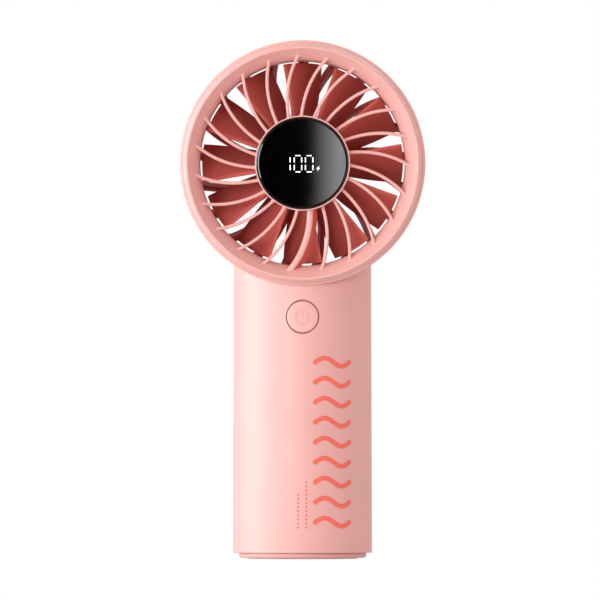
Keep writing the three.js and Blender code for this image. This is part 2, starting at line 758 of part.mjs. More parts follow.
function buildBattery(grip) {
  [["cell_left", -CELL_X], ["cell_right", CELL_X]].forEach(([name, x]) => {
    const can = upright(
      turned(
        [
          [0, CELL_BOTTOM],
          [CELL_R, CELL_BOTTOM],
          [CELL_R, CELL_TOP - 1],
          [CELL_R - 0.6, CELL_TOP - 0.4],
          [3, CELL_TOP - 0.4],
          [3, CELL_TOP],
          [0, CELL_TOP],
        ],
        MEDIUM,
      ),
    );
    piece(grip, name, can.translate([x, 0, 0]), cellWrap);
  });
  const strip = (z) => block([-12, 12], [-3, 3], [z, z + 0.4]);
  piece(grip, "cell_strip_top", strip(CELL_TOP + FIT), steel);
  piece(grip, "cell_strip_bottom", strip(CELL_BOTTOM - FIT - 0.4), steel);
  const sheet = block([-14, 14], [-9.75, -9.45], [PLATE_BOTTOM[1] + GAP, PLATE_TOP[0] - GAP]);
  piece(grip, "insulating_sheet", sheet, whitePlastic);
}

// Two end plates joined by a spine behind the cells, with bosses for the base screws and a shelf for the
// charging port.
function carrier() {
  const plateR = BORE_R - 0.4;
  const keepBehindBoard = block([-20, 20], [-9.7, 20], [0, 90]);
  const endPlate = ([z0, z1]) => upright(disc(plateR, z0, z1, MEDIUM)).intersect(keepBehindBoard);
  const spine = block([-11, 11], [CELL_R + 0.4, CELL_R + 1.9], [PLATE_BOTTOM[0] + 1, PLATE_TOP[1] - 1]);
  const shelf = block([-7, 7], [CELL_R + 1.2, 18], [PORT_Z - 5.3, PORT_Z - 2.9]);
  const bosses = [-1, 1].map((side) =>
    upright(disc(2.6, 3.4, PLATE_BOTTOM[0] + 1, SMALL)).translate([BASE_SCREW_X * side, 0, 0]),
  );
  const body = join(endPlate(PLATE_BOTTOM), endPlate(PLATE_TOP), spine, shelf, bosses);
  const boardHoles = BOARD_SCREWS.map(([x, z]) => disc(0.95, -12, -6.5, TINY).translate([x, 0, z]));
  const baseHoles = [-1, 1].map((side) =>
    upright(disc(1.2, 2, 9, TINY)).translate([BASE_SCREW_X * side, 0, 0]),
  );
  const portHole = upright(disc(0.95, PORT_Z - 4.8, PORT_Z - 2, TINY)).translate([...PORT_SCREW, 0]);
  const leadWindow = block([-3.5, 3.5], [-5.8, 8.9], [PLATE_TOP[0] - 2, PLATE_TOP[1] + 2]);
  const leadNotch = block([-6.5, -4], [13.6, 22], [PLATE_BOTTOM[0] - 2, PORT_Z - 2.5]);
  const groove = block([-1.2, 1.2], [6, 10.2], [PLATE_BOTTOM[1] - 0.5, PLATE_TOP[0] + 1]);
  return cut(body, boardHoles, baseHoles, portHole, leadWindow, leadNotch, groove);
}

// ---------------------------------------------------------------- base

function buildBase(grip) {
  const cap = upright(
    turned(
      [
        [0, 0.85],
        [PAD_R + 0.2, 0.85],
        [PAD_R + 0.2, 0.3],
        [19.5, 0.3],
        [20.1, 0.9],
        [20.1, GRIP_BOTTOM - FIT],
        [BORE_R - GAP, GRIP_BOTTOM - FIT],
        [BORE_R - GAP, SNAP_Z - 0.7],
        [BORE_R + 0.1, SNAP_Z],
        [BORE_R - GAP, SNAP_Z + 0.7],
        [BORE_R - GAP, 7.5],
        [18, 7.5],
        [18, 3],
        [0, 3],
      ],
      ROUND,
    ),
  );
  const holes = [-1, 1].flatMap((side) => [
    upright(disc(1.25, 0, 5, TINY)).translate([BASE_SCREW_X * side, 0, 0]),
    upright(disc(2.4, 0, 2.3, SMALL)).translate([BASE_SCREW_X * side, 0, 0]),
  ]);
  piece(grip, "base_cap", cut(cap, holes), pinkShell);
  piece(grip, "base_pad", upright(disc(PAD_R, 0, 0.8, ROUND)), rubber);
  [-1, 1].forEach((side, k) => {
    const body = upright(screw(1.1, 2.2, 1.2, 6)).translate([BASE_SCREW_X * side, 0, 2.2]);
    piece(grip, `base_screw_${k + 1}`, body, steel);
  });
}

// ---------------------------------------------------------------- leads in the grip

function buildGripLeads(grip) {
  const at = (...xyz) => new THREE.Vector3(...xyz);
  const positive = [
    at(2.4, -1.6, CELL_TOP + 1.2),
    at(2.4, -1.8, 79.6),
    at(2.2, -3, 82),
    at(1.8, -6.5, 84.3),
    at(1.6, -10, 84.7),
    at(1.5, -12.3, 84.6),
    at(1.4, -12.9, 83.8),
    at(1.4, -12.9, 83.3),
  ];
  piece(grip, "battery_lead_positive", lead(positive, 0.5, 18), redWire);
  const negative = [
    at(0, 4.2, CELL_BOTTOM + 0.6),
    at(0, 6.6, CELL_BOTTOM + 1.4),
    at(0, 7.6, CELL_BOTTOM + 4),
    at(0, 7.6, 45),
    at(0, 7.6, 79),
    at(-0.6, 6, 82),
    at(-1.4, 0, 84),
    at(-1.6, -6.5, 84.5),
    at(-1.6, -10, 84.7),
    at(-1.5, -12.3, 84.6),
    at(-1.4, -12.9, 83.8),
    at(-1.4, -12.9, 83.3),
  ];
  piece(grip, "battery_lead_negative", lead(negative, 0.5, 26), blackWire);
  const charge = [
    at(-5.2, 15.6, PORT_Z - 3.2),
    at(-5.2, 15.6, 12),
    at(-5.2, 15.4, 8),
    at(-5, 12, 5.6),
    at(0, 0, 5),
    at(4, -11, 5.6),
    at(5, -13, 7.5),
    at(5, -13, 10),
    at(5, -13, 14.8),
  ];
  piece(grip, "charge_lead", lead(charge, 0.6, 22), blackWire);
}

// ---------------------------------------------------------------- assembly

const fan = new THREE.Group();
const grip = new THREE.Group();
const head = new THREE.Group();
head.position.z = HEAD_Z;
fan.add(grip, head);

piece(grip, "main_shell", mainShell(), pinkShell);
piece(head, "front_grille", frontGrille(), pinkShell);
buildDisplay(head);
piece(head, "duct_liner", ductLiner(), pinkShell);
piece(head, "guide_vanes", guideVanes(), redDuct);
piece(head, "rear_grille", rearGrille(), pinkShell);
buildRotor(head);
buildMotor(head);
buildHeadLeads(head);
buildButton(grip);
buildMainBoard(grip);
buildPort(grip);
buildBattery(grip);
piece(grip, "battery_carrier", carrier(), whitePlastic);
buildBase(grip);
buildGripLeads(grip);

export default fan;
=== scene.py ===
"""The looks of a handheld electric fan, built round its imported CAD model.

Sizes are millimetres and become metres where a mesh is made. The fan stands on z = 0 and its air leaves
towards -Y, which is its front. Clockwise angles are measured from the top of the head, seen from the front.
"""

import json
from math import cos, degrees, hypot, pi, radians, sin, sqrt, tau

import bpy
from mathutils import Matrix, Vector


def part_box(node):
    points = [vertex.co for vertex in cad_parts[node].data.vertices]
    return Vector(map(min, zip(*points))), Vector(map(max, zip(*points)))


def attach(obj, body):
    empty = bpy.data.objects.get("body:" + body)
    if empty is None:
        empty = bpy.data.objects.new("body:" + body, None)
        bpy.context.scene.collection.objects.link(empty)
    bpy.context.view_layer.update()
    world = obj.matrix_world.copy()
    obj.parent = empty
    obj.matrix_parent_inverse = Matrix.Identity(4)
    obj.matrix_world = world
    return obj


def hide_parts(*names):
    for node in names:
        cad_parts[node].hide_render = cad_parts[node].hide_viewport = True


MM = 0.001
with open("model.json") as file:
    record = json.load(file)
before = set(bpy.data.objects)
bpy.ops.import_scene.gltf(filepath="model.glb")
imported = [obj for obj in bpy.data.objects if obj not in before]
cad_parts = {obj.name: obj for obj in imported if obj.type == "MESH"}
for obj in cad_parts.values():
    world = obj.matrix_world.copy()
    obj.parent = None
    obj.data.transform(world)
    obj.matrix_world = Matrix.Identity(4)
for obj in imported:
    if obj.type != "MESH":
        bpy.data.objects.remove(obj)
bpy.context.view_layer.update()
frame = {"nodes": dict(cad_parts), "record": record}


# ---------------------------------------------------------------- sizes that come from the frame


class Extent:
    """The box of a CAD node at rest, in millimetres."""

    def __init__(self, node):
        low, high = (Vector(corner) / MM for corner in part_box(node))
        self.low = low
        self.high = high
        self.middle = (low + high) / 2
        self.radius = (high.x - low.x) / 2


SHELL = Extent("main_shell")
RIM = Extent("front_grille")
REAR = Extent("rear_grille")
ROTOR = Extent("impeller")
LENS = Extent("display_lens")
LINER = Extent("duct_liner")
VANES = Extent("guide_vanes")
BUTTON = Extent("power_button")
CAP = Extent("base_cap")
PAD = Extent("base_pad")
PORT = Extent("port_receptacle")
TONGUE = Extent("port_tongue")

# Walls, a flange's thickness, and the gap between pieces that are fixed to one another.
SHELL_WALL = 1.8
DUCT_WALL = 1.4
FLANGE = 1.5
FIT = 0.3

# The head: its drum, rim and duct, and the round pieces in its middle.
HEAD_Z = ROTOR.middle.z
HEAD_R = SHELL.radius
HALF_DRUM = 22.6
DRUM_BORE_R = HEAD_R - SHELL_WALL
PLUG_R = DRUM_BORE_R - FIT
RIM_R = RIM.radius
CREST_R = RIM_R - 1.3
DUCT_R = 32.3
THROAT_R = DUCT_R + 0.25
RIB_END_R = THROAT_R + 1.6
CUP_R = LENS.radius + 0.5
SEAT_R = 13.4
HUB_R = 14

# The grip, which is a little wider at its foot.
GRIP_R = 21.62
GRIP_FOOT_R = 21.95
GRIP_BOTTOM = SHELL.low.z
GRIP_TOP = HEAD_Z - 28
BORE_R = GRIP_R - SHELL_WALL
BUTTON_Z = BUTTON.middle.z
BUTTON_R = 5
PORT_Z = PORT.middle.z

# Ribs, blades and vanes. A sweep is the lean from the inner end to the outer one.
RIB_COUNT = 23
RIB_SWEEP = 15
STRUT_ANGLE = 170.7
STRUT_SWEEP = 16.3
BLADE_COUNT = 12
BLADE_ANGLE = 19.2
VANE_COUNT = 21
VANE_ANGLE = 4.2
VANE_SWEEP = 12.8
VANE_TWIST = 3.6
LEAD_VANE = 10
REAR_VANE_BACK = 21.9

# How far print and icons stand proud of their ground, and how deep their edges are sunk into it.
PRINT_LIFT = 0.03
PRINT_ROOT = 0.05

# The sides of round shapes.
ROUND = 256
MEDIUM = 128
SMALL = 64


# ---------------------------------------------------------------- shapes


class Shape:
    """Points in millimetres and the faces between them."""

    def __init__(self, points, faces):
        self.points = [Vector(p) for p in points]
        self.faces = faces

    def __add__(self, other):
        shift = len(self.points)
        faces = [tuple(i + shift for i in face) for face in other.faces]
        return Shape(self.points + other.points, self.faces + faces)

    def bent(self, move):
        """The shape with each point sent through a function."""
        return Shape([move(p) for p in self.points], self.faces)

    def moved(self, x=0, y=0, z=0):
        return self.bent(lambda p: p + Vector((x, y, z)))

    def turned(self, angle, axis):
        spin = Matrix.Rotation(radians(angle), 3, axis)
        return self.bent(lambda p: spin @ p)

    def outward(self):
        """The closed shape with its faces pointing out."""
        volume = 0
        for face in self.faces:
            first = self.points[face[0]]
            for b, c in zip(face[1:], face[2:]):
                volume += first.dot(self.points[b].cross(self.points[c]))
        if volume < 0:
            self.faces = [tuple(reversed(face)) for face in self.faces]
        return self


def total(shapes):
    """One shape of several that don't touch."""
    shapes = list(shapes)
    whole = shapes[0]
    for shape in shapes[1:]:
        whole = whole + shape
    return whole


def lathe(profile, sides=ROUND):
    """A profile of (radius, y) points turned round the Y axis. It closes on itself, or ends on the axis."""
    points = []
    rings = []
    for r, y in profile:
        count = 1 if r == 0 else sides
        rings.append([len(points) + i for i in range(count)])
        points += [(r * sin(tau * i / sides), y, r * cos(tau * i / sides)) for i in range(count)]
    if profile[0][0] > 0:
        rings.append(rings[0])
    faces = []
    for a, b in zip(rings, rings[1:]):
        for i in range(sides):
            j = i + 1
            quad = (a[i % len(a)], a[j % len(a)], b[j % len(b)], b[i % len(b)])
            face = tuple(dict.fromkeys(quad))
            if len(face) > 2:
                faces.append(face)
    return Shape(points, faces).outward()


def loft(loops):
    """A closed shape through loops of points, flat at its first and last."""
    count = len(loops[0])
    points = [p for loop in loops for p in loop]
    faces = [
        (i * count + k, i * count + (k + 1) % count, (i + 1) * count + (k + 1) % count, (i + 1) * count + k)
        for i in range(len(loops) - 1)
        for k in range(count)
    ]
    last = (len(loops) - 1) * count
    faces.append(tuple(reversed(range(count))))
    faces.append(tuple(range(last, last + count)))
    return Shape(points, faces).outward()


def eased(corners, steps=5, closed=True):
    """A polyline with some corners rounded off. A corner is (x, y), or (x, y, setback) where it is round."""
    line = []
    for i, corner in enumerate(corners):
        here = Vector(corner[:2])
        at_end = not closed and i in (0, len(corners) - 1)
        if len(corner) < 3 or at_end:
            line.append(tuple(here))
            continue
        back = (Vector(corners[i - 1][:2]) - here).normalized() * corner[2]
        ahead = (Vector(corners[(i + 1) % len(corners)][:2]) - here).normalized() * corner[2]
        for k in range(steps + 1):
            t = k / steps
            line.append(tuple(here + back * (1 - t) ** 2 + ahead * t**2))
    return line


def arc(cx, cy, rx, ry, start, end, steps):
    """Points on an ellipse between two angles in degrees."""
    angles = [radians(start + (end - start) * i / steps) for i in range(steps + 1)]
    return [(cx + rx * cos(a), cy + ry * sin(a)) for a in angles]


def slot_loop(width, height, y, steps=12):
    """A round-ended slot's outline in a plane of constant y."""
    r = height / 2
    ends = arc(width / 2 - r, 0, r, r, -90, 90, steps) + arc(r - width / 2, 0, r, r, 90, 270, steps)
    return [(x, y, z) for x, z in ends]


def directions(points):
    """Each point of a line in a plane, with the line's direction there."""
    last = len(points) - 1
    for i, here in enumerate(points):
        before = Vector(points[max(0, i - 1)])
        after = Vector(points[min(last, i + 1)])
        yield Vector(here), (after - before).normalized()


def box(low, high):
    """A plain box between two corners."""
    (x0, y0, z0), (x1, y1, z1) = low, high
    return loft([[(x0, y0, z), (x1, y0, z), (x1, y1, z), (x0, y1, z)] for z in (z0, z1)])


def section_loop(nose, tail, between):
    """Points (depth share, side) round the section of a plate with round ends."""
    quarter = [radians(90 * k / 6) for k in range(7)]
    front = [(nose * (1 - cos(a)), sin(a)) for a in quarter]
    back = [(1 - tail * (1 - cos(a)), sin(a)) for a in reversed(quarter)]
    span = 1 - nose - tail
    middle = [(nose + span * (k + 1) / (between + 1), 1) for k in range(between)]
    side = front + middle + back
    return side + [(v, -s) for v, s in reversed(side[1:-1])]


def plate(radii, depths, angle, half, nose, tail, between=1, steps=18):
    """A plate that spans two radii and two depths of the head. angle(u, v) is its clockwise angle in degrees
    and half(u, v) its half thickness, at radial share u and depth share v."""
    loops = []
    for i in range(steps + 1):
        u = i / steps
        r = radii[0] + (radii[1] - radii[0]) * u
        loop = []
        for v, side in section_loop(nose, tail, between):
            a = radians(angle(u, v)) + side * half(u, v) / r
            loop.append((r * sin(a), depths[0] + (depths[1] - depths[0]) * v, r * cos(a)))
        loops.append(loop)
    return loft(loops)


def lean(u):
    """Share of its whole lean that a rib or vane has reached at radial share u."""
    return 0.68 * u + 0.32 * u * u


def flare(u, amount, reach=0.07):
    """How much a rib widens where it runs into its hub and its rim."""
    return 1 + amount * (max(0, 1 - u / reach) ** 2 + max(0, 1 - (1 - u) / reach) ** 2)


def around(count, make):
    """What make(index, angle) gives at each of a number of even turns."""
    return [make(k, 360 * k / count) for k in range(count)]


# ---------------------------------------------------------------- pieces


def mesh_object(name, shape):
    """A shape as an object in metres."""
    mesh = bpy.data.meshes.new(name)
    mesh.from_pydata([p * MM for p in shape.points], [], shape.faces)
    made = bpy.data.objects.new(name, mesh)
    bpy.context.scene.collection.objects.link(made)
    return made


def combined(name, base, steps):
    """The base shape after a list of ("UNION" or "DIFFERENCE", shape) steps, as an object."""
    made = mesh_object(name, base)
    tools = []
    for operation, shape in steps:
        tool = mesh_object(name + "_tool", shape)
        modifier = made.modifiers.new(operation.lower(), "BOOLEAN")
        modifier.solver = "MANIFOLD"
        modifier.operation = operation
        modifier.object = tool
        tools.append(tool)
    graph = bpy.context.evaluated_depsgraph_get()
    result = bpy.data.meshes.new_from_object(made.evaluated_get(graph))
    made.modifiers.clear()
    made.data = result
    for tool in tools:
        bpy.data.objects.remove(tool)
    return made


def finished(made, material, body, replaces=(), sharp=32):
    """Shades an object, gives it its material and ties it to the frame."""
    made.data.shade_smooth()
    made.data.set_sharp_from_angle(angle=radians(sharp))
    made.data.materials.clear()
    made.data.materials.append(material)
    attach(made, body)
    if replaces:
        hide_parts(*replaces)
    return made


# ---------------------------------------------------------------- materials


def blank(name):
    """A new material with its nodes, links and shader."""
    material = bpy.data.materials.new(name)
    material.use_nodes = True
    nodes = material.node_tree.nodes
    return material, nodes, material.node_tree.links, nodes["Principled BSDF"]


def noise(nodes, links, scale, detail=3):
    """A noise texture fixed to the piece. The scale is in features per metre."""
    place = nodes.new("ShaderNodeTexCoord")
    texture = nodes.new("ShaderNodeTexNoise")
    texture.inputs["Scale"].default_value = scale
    texture.inputs["Detail"].default_value = detail
    links.new(place.outputs["Object"], texture.inputs["Vector"])
    return texture.outputs["Fac"]


def ranged(nodes, links, source, low, high):
    """A texture's value, spread between two others."""
    spread = nodes.new("ShaderNodeMapRange")
    spread.inputs["From Min"].default_value = 0.3
    spread.inputs["From Max"].default_value = 0.7
    spread.inputs["To Min"].default_value = low
    spread.inputs["To Max"].default_value = high
    links.new(source, spread.inputs["Value"])
    return spread.outputs["Result"]


def tinted(nodes, links, source, color, amount, target):
    """A colour that drifts a little darker and lighter with a texture."""
    ramp = nodes.new("ShaderNodeValToRGB")
    ramp.color_ramp.elements[0].position = 0.3
    ramp.color_ramp.elements[1].position = 0.7
    ramp.color_ramp.elements[0].color = (*[c * (1 - amount) for c in color], 1)
    ramp.color_ramp.elements[1].color = (*[min(1, c * (1 + amount)) for c in color], 1)
    links.new(source, ramp.inputs["Fac"])
    links.new(ramp.outputs["Color"], target)


def bumped(nodes, links, source, depth, shader):
    """Relief of a depth in millimetres from a texture."""
    relief = nodes.new("ShaderNodeBump")
    relief.inputs["Strength"].default_value = 1
    relief.inputs["Distance"].default_value = depth * MM
    links.new(source, relief.inputs["Height"])
    links.new(relief.outputs["Normal"], shader.inputs["Normal"])


def plastic(name, color, roughness, grain=3600, relief=0.004, drift=0.02, specular=0.5):
    """Moulded plastic with a fine spark-eroded grain."""
    material, nodes, links, shader = blank(name)
    shader.inputs["Specular IOR Level"].default_value = specular
    fine = noise(nodes, links, grain, 2)
    broad = noise(nodes, links, 60, 3)
    tinted(nodes, links, broad, color, drift, shader.inputs["Base Color"])
    rough = ranged(nodes, links, fine, roughness * 0.92, roughness * 1.08)
    links.new(rough, shader.inputs["Roughness"])
    bumped(nodes, links, fine, relief, shader)
    return material


def metal(name, color, roughness):
    """Metal with fine machining marks."""
    material, nodes, links, shader = blank(name)
    shader.inputs["Metallic"].default_value = 1
    marks = noise(nodes, links, 5000, 4)
    tinted(nodes, links, marks, color, 0.08, shader.inputs["Base Color"])
    links.new(ranged(nodes, links, marks, roughness * 0.75, roughness * 1.3), shader.inputs["Roughness"])
    bumped(nodes, links, marks, 0.003, shader)
    return material


def circuit_board(name, color):
    """Green solder mask over copper tracks that show as a faint relief."""
    material, nodes, links, shader = blank(name)
    place = nodes.new("ShaderNodeTexCoord")
    tracks = nodes.new("ShaderNodeTexBrick")
    tracks.inputs["Scale"].default_value = 260
    tracks.inputs["Mortar Size"].default_value = 0.06
    tracks.inputs["Color1"].default_value = (*color, 1)
    tracks.inputs["Color2"].default_value = (*[c * 0.8 for c in color], 1)
    tracks.inputs["Mortar"].default_value = (*[c * 1.8 for c in color], 1)
    links.new(place.outputs["Object"], tracks.inputs["Vector"])
    links.new(tracks.outputs["Color"], shader.inputs["Base Color"])
    bumped(nodes, links, tracks.outputs["Fac"], 0.03, shader)
    shader.inputs["Roughness"].default_value = 0.35
    return material


def smoked_lens(name, ior=1.49):
    """Polished black acrylic with the faintest smears."""
    material, nodes, links, shader = blank(name)
    smears = noise(nodes, links, 300, 4)
    tinted(nodes, links, smears, (0.0005, 0.0005, 0.0006), 0.2, shader.inputs["Base Color"])
    links.new(ranged(nodes, links, smears, 0.055, 0.075), shader.inputs["Roughness"])
    shader.inputs["IOR"].default_value = ior
    return material


def glowing(name, color, strength):
    """A lit display segment, a little uneven across its width."""
    material, nodes, links, shader = blank(name)
    haze = noise(nodes, links, 1200, 2)
    tinted(nodes, links, haze, color, 0.03, shader.inputs["Emission Color"])
    shader.inputs["Emission Strength"].default_value = strength
    shader.inputs["Base Color"].default_value = (*color, 1)
    shader.inputs["Roughness"].default_value = 0.5
    return material


PINK = (0.87, 0.425, 0.385)
# Painted shade: the pink plastic deepened to the dark red it shows in the shade inside the duct.
SHADE_PAINTED_RED = (0.7, 0.155, 0.126)
CORAL = (0.95, 0.16, 0.115)

SHELL_PINK = plastic("shell_pink", PINK, 0.5, specular=1)
GRILLE_PINK = plastic("grille_pink", PINK, 0.45, specular=1)
# Painted shade: the pink seen after several bounces in the strut's shaded flank.
FLANK_SHADE_PAINT = plastic("flank_painted_shade", (0.66, 0.095, 0.07), 0.5)
# The blades and guide vanes wear that painted shade in place of their pink.
DUCT_SHADE_PAINT = plastic("duct_painted_shade", SHADE_PAINTED_RED, 0.55, grain=2800, specular=0.12)
BUTTON_PINK = plastic("button_pink", PINK, 0.44, specular=1)
ICON_PINK = plastic("icon_pink", tuple(c * 0.86 for c in PINK), 0.3, relief=0.002)
PRINT_CORAL = plastic("print_coral", CORAL, 0.45, grain=5200, relief=0.002)
LENS_BLACK = smoked_lens("lens_black")
LENS_BEVEL = smoked_lens("lens_bevel", ior=2.2)
DIGIT_WHITE = glowing("digit_white", (0.95, 0.97, 1.0), 1.1)
SOCKET_BLACK = plastic("socket_black", (0.015, 0.015, 0.016), 0.5)
CONTACT_GOLD = metal("contact_gold", (0.9, 0.6, 0.22), 0.25)

BY_SLOT = {
    "shell": SHELL_PINK,
    "duct": DUCT_SHADE_PAINT,
    "lens": LENS_BLACK,
    "white_plastic": plastic("natural_nylon", (0.8, 0.79, 0.74), 0.5),
    "black_plastic": SOCKET_BLACK,
    "circuit_board": circuit_board("solder_mask", (0.015, 0.14, 0.05)),
    "steel": metal("nickel_steel", (0.62, 0.62, 0.63), 0.3),
    "aluminium": metal("drawn_aluminium", (0.78, 0.79, 0.8), 0.35),
    "copper": metal("enamelled_copper", (0.6, 0.2, 0.07), 0.3),
    "brass": metal("turned_brass", (0.75, 0.52, 0.2), 0.3),
    "magnet": plastic("ferrite", (0.045, 0.045, 0.05), 0.55, grain=2400, relief=0.01),
    "cell": plastic("shrink_sleeve", (0.04, 0.17, 0.42), 0.28, grain=700, relief=0.01),
    # Painted light: the pad's pink is paled to stand in for light from below on the shaded line under the
    # cap.
    "pad": plastic("soft_pad_painted_light", (0.96, 0.74, 0.7), 0.75, grain=2200, relief=0.012),
    "red_wire": plastic("red_silicone", (0.5, 0.02, 0.015), 0.5),
    "black_wire": plastic("black_silicone", (0.02, 0.02, 0.022), 0.5),
}


# ---------------------------------------------------------------- shell


def upright(shape):
    """A shape made round the Y axis, stood up so that its Y becomes +Z."""
    return shape.turned(90, "X")


def drum():
    """The head's drum, with the inside ledge that the guide vanes' flange stops on."""
    stop = VANES.high.y - FLANGE - FIT
    ledge = 1.4
    edge = 1
    skin = [
        (DRUM_BORE_R, -HALF_DRUM, 0.15),
        *arc(HEAD_R - edge, -HALF_DRUM + edge, edge, edge, -90, 0, 10),
        *arc(HEAD_R - edge, HALF_DRUM - edge, edge, edge, 0, 90, 10),
        (DRUM_BORE_R, HALF_DRUM, 0.15),
        (DRUM_BORE_R, stop),
        (DRUM_BORE_R - ledge, stop, 0.2),
        (DRUM_BORE_R - ledge, stop - ledge, 0.2),
        (DRUM_BORE_R, stop - 2 * ledge),
    ]
    return lathe(eased(skin)).moved(z=HEAD_Z)


def grip_tube():
    """The grip's tube, open at its foot, whose top end runs into the drum."""
    skin = [
        (BORE_R, GRIP_BOTTOM, 0.1),
        (GRIP_FOOT_R, GRIP_BOTTOM, 0.35),
        (GRIP_R, GRIP_TOP),
        (BORE_R, GRIP_TOP),
    ]
    return upright(lathe(eased(skin)))


def build_shell():
    """The drum and the grip's tube as one moulding, with holes for the button, the port and the leads."""
    hollow_r = HEAD_R - 0.5
    inside_drum = lathe([(0, -30), (hollow_r, -30), (hollow_r, 30), (0, 30)]).moved(z=HEAD_Z)
    hole_r = BUTTON_R + 0.26
    mouth_r = hole_r + 1.1
    mouth_y = -GRIP_R - 1
    flare_y = -GRIP_R + 0.35
    button_hole = lathe(
        [(0, mouth_y), (mouth_r, mouth_y), (hole_r, flare_y), (hole_r, -10), (0, -10)],
        MEDIUM,
    ).moved(z=BUTTON_Z)
    width, height = 13, 7
    pocket = loft(
        [
            slot_loop(width, height, 20.5),
            slot_loop(width, height, GRIP_R - 0.1),
            slot_loop(width + 2, height + 2, GRIP_R + 1),
        ]
    ).moved(z=PORT_Z)
    socket_hole = loft([slot_loop(9.6, 3.9, y) for y in (15, 24)]).moved(z=PORT_Z)
    lead_hole = box((-5, -10, HEAD_Z - HEAD_R - 3), (5, 10, HEAD_Z - DRUM_BORE_R + 3))
    made = combined(
        "shell",
        grip_tube(),
        [
            ("DIFFERENCE", inside_drum),
            ("UNION", drum()),
            ("DIFFERENCE", button_hole),
            ("DIFFERENCE", pocket),
            ("DIFFERENCE", socket_hole),
            ("DIFFERENCE", lead_hole),
        ],
    )
    finished(made, SHELL_PINK, "housing", ["main_shell"])


# ---------------------------------------------------------------- grilles


def rim(side, crest_y, throat_y, skirt_y):
    """A grille's rim: a bell mouth with a soft crest and a skirt that plugs into the drum."""
    seat = side * (HALF_DRUM + FIT)
    skirt_r = PLUG_R - 1.3
    skin = [
        (RIM_R, seat),
        (RIM_R, seat + side * 0.35, 0.3),
        (CREST_R + 0.2, crest_y, 0.45),
        (CREST_R - 0.2, crest_y, 0.45),
        (THROAT_R + 0.75, crest_y - side * 3.9, 1.3),
        (THROAT_R, throat_y),
        (THROAT_R + 1.2, throat_y),
        (skirt_r, seat),
        (skirt_r, skirt_y),
        (PLUG_R, skirt_y),
        (PLUG_R, seat),
    ]
    return lathe(eased(skin)).moved(z=HEAD_Z)


def front_rib(angle):
    """A rib of the front grille, from the display's cup to the rim."""
    return plate(
        radii=(CUP_R - 0.35, RIB_END_R),
        depths=(-22.1, -20.1),
        angle=lambda u, v: angle + RIB_SWEEP * lean(u),
        half=lambda u, v: (0.5 + 0.08 * u) * flare(u, 0.5),
        nose=0.18,
        tail=0.1,
    )


def strut_angle(u):
    """Where the strut is at radial share u."""
    return STRUT_ANGLE + STRUT_SWEEP * lean(u)


def front_strut():
    """The wide strut that stands in the place of one rib."""
    return plate(
        radii=(CUP_R - 0.35, RIB_END_R),
        depths=(-22.4, -20.9),
        angle=lambda u, v: strut_angle(u),
        half=lambda u, v: (0.95 + 0.15 * u) * flare(u, 0.2),
        nose=0.35,
        tail=0.1,
    )


def strut_flank():
    """The strut's side, which spreads to the right as it goes back and covers the display's lead."""
    inner, outer = CUP_R - 0.2, THROAT_R + 0.9
    left = 0.8

    def right(u, v):
        return 0.9 + (1.5 + 0.7 * u) * v

    def angle(u, v):
        r = inner + (outer - inner) * u
        return strut_angle(u) - degrees((right(u, v) - left) / 2 / r)

    return plate(
        radii=(inner, outer),
        depths=(-22, -20),
        angle=angle,
        half=lambda u, v: (right(u, v) + left) / 2,
        nose=0.06,
        tail=0.06,
        between=5,
    )


def display_cup():
    """The cup in the middle of the ribs, with the ledge that the lens lies on."""
    back = -17.2
    inside = back - 1.2
    ledge = -23.3
    front = -24.4
    seat_r = LENS.radius + 0.1
    bore_r = LENS.radius - 0.9
    skin = [
        (0, back),
        (CUP_R, back, 0.8),
        (CUP_R, front, 0.18),
        (seat_r, front, 0.1),
        (seat_r, ledge),
        (bore_r, ledge, 0.1),
        (bore_r, inside),
        (0, inside),
    ]
    return lathe(eased(skin, closed=False)).moved(z=HEAD_Z)


def build_front_grille():
    """The rim, the cup, the ribs and the strut in one piece, and the strut's flank in a deeper red that is
    painted shade on the same pink moulding.
    """
    ribs = total(
        around(RIB_COUNT, lambda k, turn: front_rib(STRUT_ANGLE + turn) if k else front_strut())
    ).moved(z=HEAD_Z)
    rings = rim(-1, RIM.low.y, LINER.low.y - FIT, RIM.high.y) + display_cup()
    made = combined("front_grille_fine", rings, [("UNION", ribs)])
    finished(made, GRILLE_PINK, "housing", ["front_grille"])
    flank = mesh_object("strut_flank", strut_flank().moved(z=HEAD_Z))
    # The flank is the pink moulding drawn in its painted shade.
    finished(flank, FLANK_SHADE_PAINT, "housing")


def rear_vane(angle):
    """A vane of the rear grille, from the cap to the rim."""
    return plate(
        radii=(SEAT_R - 0.4, RIB_END_R),
        depths=(VANES.high.y + FIT, REAR_VANE_BACK),
        angle=lambda u, v: angle + 1.8 + VANE_SWEEP * lean(u) - 1.5 * (1 - v),
        half=lambda u, v: (0.45 + 0.25 * u) * flare(u, 0.5),
        nose=0.08,
        tail=0.11,
        between=2,
    )


def build_rear_grille():
    """The rim, the vanes and the round cap that covers the motor's back."""
    wall = 1.3
    cap_front = VANES.high.y - 0.3
    cap_back = REAR_VANE_BACK - 0.3
    cap = lathe(
        eased(
            [
                (0, cap_back),
                (4, cap_back - 0.04),
                (SEAT_R, cap_back - 0.4, 1.4),
                (SEAT_R, cap_front, 0.15),
                (SEAT_R - wall, cap_front, 0.15),
                (SEAT_R - wall, cap_back - wall),
                (0, cap_back - wall),
            ],
            closed=False,
        )
    ).moved(z=HEAD_Z)
    vanes = total(around(VANE_COUNT, lambda k, turn: rear_vane(VANE_ANGLE + turn))).moved(z=HEAD_Z)
    inner = VANES.high.y + FIT
    rings = rim(1, REAR.high.y, inner, inner) + cap
    made = combined("rear_grille_fine", rings, [("UNION", vanes)])
    finished(made, GRILLE_PINK, "housing", ["rear_grille"])


# ---------------------------------------------------------------- duct and impeller


